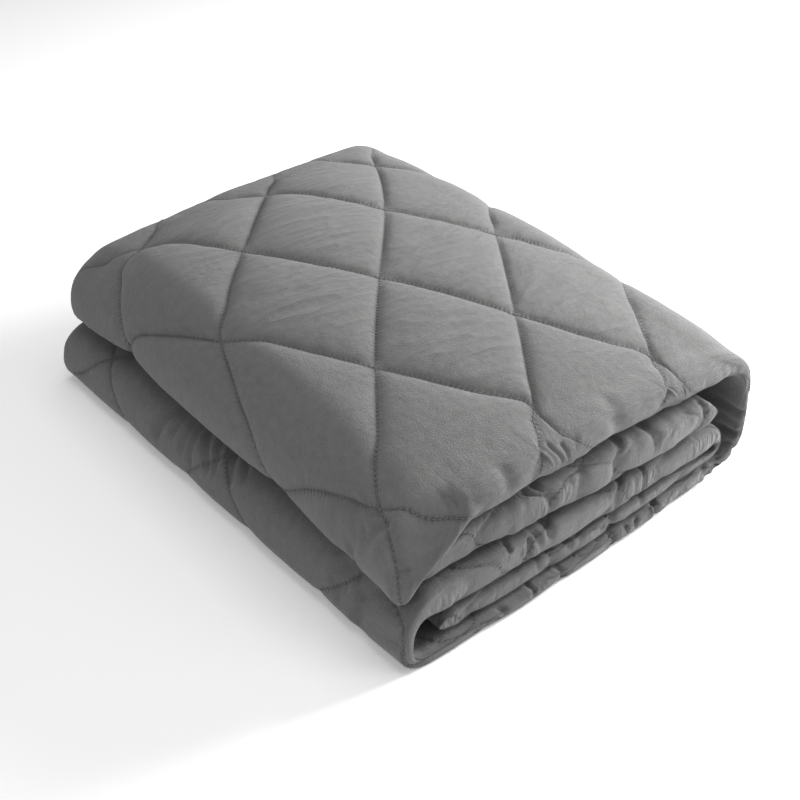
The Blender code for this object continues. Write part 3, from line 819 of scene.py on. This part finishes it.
def seam_group():
    """Height of a seam's fine gathers and beads, and the painted shade of its valley."""
    tree, cloth, pitch, end = cloth_group("seam_gathers_and_shade", "Stitch pitch", STITCH_PITCH,
                                          ("Height", "Painted shade"))
    do = partial(math_node, tree)
    u, v = split_node(tree, cloth)
    side = math.hypot(CELL_ACROSS, CELL_ALONG)
    heights, valleys = [], []
    for family in (1, -1):
        place = do("ADD", do("MULTIPLY", v, 1 / (CELL_ALONG * CELLS)),
                   do("MULTIPLY", u, family / (CELL_ACROSS * CELLS)))
        line = do("ROUND", place)
        gap = do("MULTIPLY", do("ABSOLUTE", do("SUBTRACT", place, line)), SEAM_PITCH)
        run = do("ADD", do("MULTIPLY", v, CELL_ALONG / side),
                 do("MULTIPLY", u, -family * CELL_ACROSS / side))
        steps = do("DIVIDE", run, pitch)
        spot = join_node(tree, steps, do("MULTIPLY", gap, 90.0), do("MULTIPLY", line, 7.3))
        wave = do("SUBTRACT", noise_node(tree, spot, 1.6, 1.0), 0.5)
        beat = do("SINE", do("MULTIPLY", steps, 2 * math.pi))
        gathers = do("MULTIPLY", wave, fade(tree, gap, GATHERS_REACH))
        beads = do("MULTIPLY", beat, fade(tree, gap, BEADS_REACH))
        heights.append(do("MULTIPLY_ADD", beads, 0.3, gathers))
        # Painted shade: a dark line along the seam valley, broken into dashes at the stitch pitch.
        dotted = do("MULTIPLY_ADD", beat, -0.25, 0.75)
        valleys.append(do("MULTIPLY", fade(tree, gap, VALLEY_SHADE_REACH), dotted))
    tree.links.new(do("ADD", *heights), end.inputs["Height"])
    tree.links.new(do("MAXIMUM", *valleys), end.inputs["Painted shade"])
    return tree


# %% Nap group: brushed fibres and mottling
def nap_group():
    """Height of the brushed nap and a slow mottling from 0 to 1."""
    tree, cloth, fineness, end = cloth_group("brushed_nap", "Fineness", 800.0,
                                             ("Height", "Mottle"))
    do = partial(math_node, tree)
    scaled = add_node(tree, "ShaderNodeVectorMath", {0: cloth, "Scale": fineness},
                      operation="SCALE").outputs[0]
    fine = noise_node(tree, scaled, 1.0, 3.0, 0.65)
    coarse = noise_node(tree, scaled, 0.16)
    mottle = do("ADD", do("MULTIPLY", fine, 0.6), do("MULTIPLY", coarse, 0.4))
    tree.links.new(do("ADD", fine, coarse), end.inputs["Height"])
    tree.links.new(mottle, end.inputs["Mottle"])
    return tree


# %% Drag group: the crisp part of the long wrinkles
def drag_group():
    """Height of fine wrinkles along the strip, strongest at the spots of the table."""
    tree, cloth, spacing, end = cloth_group("drag_wrinkles", "Spacing", 16 * MM)
    do = partial(math_node, tree)
    u, v = split_node(tree, cloth)
    spot = join_node(tree, do("MULTIPLY", u, 16.0), do("DIVIDE", v, spacing))
    ridge = do("SUBTRACT", 0.25, off_middle(tree, noise_node(tree, spot, 1.0, 1.0, 0.35), 0.25))
    where = 0.10
    for across, along, strength in DRAG_SPOTS:
        place = across * CELL_ACROSS, along * CELL_ALONG, 0.0
        gap = add_node(tree, "ShaderNodeVectorMath", {0: cloth, 1: place}, operation="DISTANCE")
        close = fade(tree, do("POWER", gap.outputs["Value"], 2.0), DRAG_RADIUS ** 2)
        where = do("MULTIPLY_ADD", close, strength, where)
    tree.links.new(do("MULTIPLY", ridge, where), end.inputs["Height"])
    return tree


# %% Pleat group: crisp little folds over the near rim
def pleat_group():
    """Height of sharp pleats over the near rim, in clusters and strongest on the lower bands."""
    tree, cloth, spacing, end = cloth_group("rim_pleats", "Spacing", 11 * MM)
    do = partial(math_node, tree)
    u, v = split_node(tree, cloth)
    spot = join_node(tree, do("DIVIDE", u, spacing), do("MULTIPLY", v, 22.0))
    pleat = off_middle(tree, noise_node(tree, spot, 1.0), 0.12)
    from_rim = do("ABSOLUTE", do("SUBTRACT", v, NEAR_RIM * CELL_ALONG))
    from_top = do("ABSOLUTE", do("SUBTRACT", u, 6 * CELL_ACROSS))
    low = do("GREATER_THAN", from_top, 10 * CELL_ACROSS)
    slow = noise_node(tree, cloth, 24.0, 0.0)
    cluster = do("MAXIMUM", do("MULTIPLY_ADD", slow, 4.0, -1.8), 0.1)
    where = do("MULTIPLY", do("MULTIPLY_ADD", low, 0.6, 0.4), cluster)
    where = do("MULTIPLY", where, fade(tree, from_rim, 30 * MM))
    tree.links.new(do("MULTIPLY", pleat, where), end.inputs["Height"])
    return tree


SEAM_GATHERS_AND_SHADE, BRUSHED_NAP = seam_group(), nap_group()
DRAG_WRINKLES, RIM_PLEATS = drag_group(), pleat_group()
print("shared groups:", SEAM_GATHERS_AND_SHADE.name, BRUSHED_NAP.name, DRAG_WRINKLES.name, RIM_PLEATS.name)


# %% The cover's material
def new_material(name, constants):
    """A material with constants on its shader's own sockets, its tree and its shader."""
    material = bpy.data.materials.new(name)
    material.use_nodes = True
    shader = material.node_tree.nodes["Principled BSDF"]
    for label, value in constants.items():
        shader.inputs[label].default_value = value
    return material, material.node_tree, shader


def mix_node(tree, factor, a, b):
    """Mix of two colours, each four numbers or a socket to link."""
    return add_node(tree, "ShaderNodeMix", {"Factor": factor, "A": a, "B": b},
                    data_type="RGBA").outputs["Result"]


def cover_material():
    """Grey brushed micro-fibre."""
    material, tree, shader = new_material("grey_microfibre", {
        "Roughness": 0.92, "Sheen Weight": 0.18, "Sheen Roughness": 0.45,
        "Specular IOR Level": 0.25})
    cloth = add_node(tree, "ShaderNodeUVMap", uv_map="cloth").outputs[0]
    seams, nap, drag, pleats = (
        add_node(tree, "ShaderNodeGroup", node_tree=group)
        for group in (SEAM_GATHERS_AND_SHADE, BRUSHED_NAP, DRAG_WRINKLES, RIM_PLEATS))
    for group in (seams, nap, drag, pleats):
        tree.links.new(cloth, group.inputs["Cloth"])
    grey = mix_node(tree, nap.outputs["Mottle"], (0.085, 0.085, 0.084, 1.0),
                    (0.215, 0.215, 0.213, 1.0))
    # Painted shade: the seam valleys are darkened nearly to black in the base colour.
    valley = math_node(tree, "MULTIPLY", seams.outputs["Painted shade"], 0.75)
    colour = mix_node(tree, valley, grey, (0.022, 0.022, 0.022, 1.0))
    tree.links.new(colour, shader.inputs["Base Color"])
    below = {}
    for group, distance in ((drag, 8 * MM), (pleats, 12 * MM), (seams, 1.1 * MM), (nap, 0.8 * MM)):
        bump = {"Strength": 1.0, "Distance": distance, "Height": group.outputs["Height"]}
        below = {"Normal": add_node(tree, "ShaderNodeBump", bump | below).outputs["Normal"]}
    tree.links.new(below["Normal"], shader.inputs["Normal"])
    return material


skin.data.materials.clear()
skin.data.materials.append(cover_material())

# %% [markdown]
# ## Stitches
# The quilting thread is a plain lockstitch: short dashes that lie in each valley. Thousands of
# equal pieces on a path are a job for Geometry Nodes: the seams become curves, points are spread
# along them at the stitch pitch, and one small rod is placed on each.


# %% Seam paths from the grid's own corners
THREAD_LIFT = 0.35 * MM         # of the thread over the valley's floor
CLEAR_OF_FLOOR = 1.5 * MM       # no stitch is drawn lower than this
SEWN_ENDS = (0.6, 13.0)         # cells along past which stitches are drawn on every layer
RIM_MARGIN = 0.05               # but not so close to the rims, in cells


def seam_paths():
    """Vertices and edges of every seam that shows on the outer face."""
    lifted = outer + normals(outer) * THREAD_LIFT
    inside = between(along_grid, (NEAR_RIM + RIM_MARGIN, FAR_RIM - RIM_MARGIN))
    shows = outer_shows(SEWN_ENDS) & inside & (outer[..., 2] > CLEAR_OF_FLOOR)
    columns, rows = (np.rint(grid * FINE).astype(int) for grid in (across_grid, along_grid))
    points, edges = [], []
    for family in (1, -1):
        for line in range(-40, 60):
            previous = None
            for place in zip(*np.nonzero(rows + family * columns == line * CELLS * FINE)):
                if not shows[place]:
                    previous = None
                    continue
                points.append(lifted[place])
                if previous is not None:
                    edges.append((previous, len(points) - 1))
                previous = len(points) - 1
    return points, edges


seam_points, seam_edges = seam_paths()
seam_mesh = bpy.data.meshes.new("stitches")
seam_mesh.from_pydata([tuple(p) for p in seam_points], seam_edges, [])
stitches = add_object("stitches", seam_mesh)
print("seam path points:", len(seam_points))


# %% Stitch tree
def thread_material():
    """Grey polyester thread, a little glossier than the cloth."""
    material, tree, shader = new_material("quilting_thread", {"Roughness": 0.6})
    place = add_node(tree, "ShaderNodeTexCoord").outputs["Object"]
    tint = mix_node(tree, noise_node(tree, place, 260.0), (0.12, 0.12, 0.12, 1.0),
                    (0.20, 0.20, 0.20, 1.0))
    tree.links.new(tint, shader.inputs["Base Color"])
    return material


def stitch_tree(material):
    """Geometry Nodes: edges in, one rod for each stitch out."""
    tree = bpy.data.node_groups.new("lockstitch", "GeometryNodeTree")
    sockets = (("INPUT", "Geometry", "Seams"), ("INPUT", "Float", "Pitch"),
               ("INPUT", "Float", "Length"), ("INPUT", "Float", "Thickness"),
               ("OUTPUT", "Geometry", "Stitches"))
    for way, kind, label in sockets:
        tree.interface.new_socket(name=label, in_out=way, socket_type="NodeSocket" + kind)
    add = partial(add_node, tree)
    values, end = add("NodeGroupInput").outputs, add("NodeGroupOutput")
    curve = add("GeometryNodeMeshToCurve", {"Mesh": values["Seams"]})
    spread = add("GeometryNodeCurveToPoints",
                 {"Curve": curve.outputs[0], "Length": values["Pitch"]}, mode="LENGTH").outputs
    rod = add("GeometryNodeMeshUVSphere", {"Segments": 6, "Rings": 4, "Radius": 0.5})
    size = join_node(tree, values["Thickness"], values["Thickness"], values["Length"])
    placed = add("GeometryNodeInstanceOnPoints", {
        "Points": spread["Points"], "Rotation": spread["Rotation"],
        "Instance": rod.outputs["Mesh"], "Scale": size})
    real = add("GeometryNodeRealizeInstances", {0: placed.outputs[0]})
    paint = add("GeometryNodeSetMaterial", {"Geometry": real.outputs[0], "Material": material})
    tree.links.new(paint.outputs[0], end.inputs[0])
    return tree


def run_nodes(piece, tree, values):
    """Run a Geometry Nodes tree on a piece and keep the result as a plain mesh."""
    modifier = piece.modifiers.new("nodes", "NODES")
    modifier.node_group = tree
    for socket in tree.interface.items_tree:
        if socket.name in values:
            modifier[socket.identifier] = values[socket.name]
    apply_modifiers(piece)


run_nodes(stitches, stitch_tree(thread_material()),
          {"Pitch": STITCH_PITCH, "Length": 3.4 * MM, "Thickness": 0.7 * MM})
stitches.data.shade_smooth()
print("stitch triangles:", sum(len(p.vertices) - 2 for p in stitches.data.polygons))

# %% [markdown]
# ## Floor, light and camera
# A pale floor and four soft lights: the key low at the right and a little in front, which draws the
# quilting by its shadows as in the photograph, one broad light above, and weak ones at the front
# and left. A hard lamp would draw sharp shadows that the photograph doesn't have. The camera
# stands where the photograph's did.


# %% Stage
Light = namedtuple("Light", "name place size power")
LIGHTS = (
    Light("key", (1.36, -0.35, 0.56), 0.6, 50.0),
    Light("top", (0.17, 0.0, 2.04), 1.6, 18.0),
    Light("front", (1.0, -1.7, 1.2), 1.2, 8.0),
    Light("left", (-1.3, -0.5, 1.3), 0.6, 3.5),
)
LIGHT_AIM = (0.0, 0.0, 0.08)
WORLD_STRENGTH = 0.28


def add_floor():
    """A wide pale floor under the blanket, with a faint glow that keeps its far parts white."""
    mesh = bpy.data.meshes.new("floor")
    mesh.from_pydata([(-8, -8, 0), (8, -8, 0), (8, 8, 0), (-8, 8, 0)], [], [(0, 1, 2, 3)])
    mesh.materials.append(new_material("pale_floor", {
        "Base Color": (0.93, 0.93, 0.93, 1.0), "Roughness": 0.9,
        "Emission Color": (1.0, 1.0, 1.0, 1.0), "Emission Strength": 0.18})[0])
    floor = add_object("floor", mesh)


def look_at(place, aim):
    """Rotation that points -Z from one place to another, with Y up."""
    return (Vector(aim) - Vector(place)).to_track_quat("-Z", "Y").to_euler()


def add_area_light(light):
    """A square soft light that points at the blanket."""
    lamp = bpy.data.lights.new(light.name, "AREA")
    lamp.size = light.size
    lamp.energy = light.power
    piece = add_object(light.name, lamp)
    piece.location = light.place
    piece.rotation_euler = look_at(light.place, LIGHT_AIM)


add_floor()
for light in LIGHTS:
    add_area_light(light)
world = bpy.data.worlds.new("studio")
world.use_nodes = True
background = world.node_tree.nodes["Background"]
background.inputs["Color"].default_value = (1.0, 1.0, 1.0, 1.0)
background.inputs["Strength"].default_value = WORLD_STRENGTH
bpy.context.scene.world = world
bpy.context.scene.view_settings.view_transform = "Standard"
print("lights:", [light.name for light in LIGHTS])

# %% Camera
CAMERA_PLACE = (-0.6003, -0.7448, 0.6854)
CAMERA_AIM = (0.0295, 0.0199, 0.0)
lens = bpy.data.cameras.new("camera")
lens.lens = 56.25
lens.sensor_width = 36.0
camera = add_object("camera", lens)
camera.location = CAMERA_PLACE
camera.rotation_euler = look_at(CAMERA_PLACE, CAMERA_AIM)
bpy.context.scene.camera = camera
print("camera stands at, mm:", [round(v * 1000) for v in CAMERA_PLACE])

# %% [markdown]
# ## Hand the pieces to the model
# The skin stands for the measured solid and rides with it, and the stitches ride along.

# %% Ride, replace and finish
for piece in (skin, stitches):
    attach(piece, "root")
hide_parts("blanket")
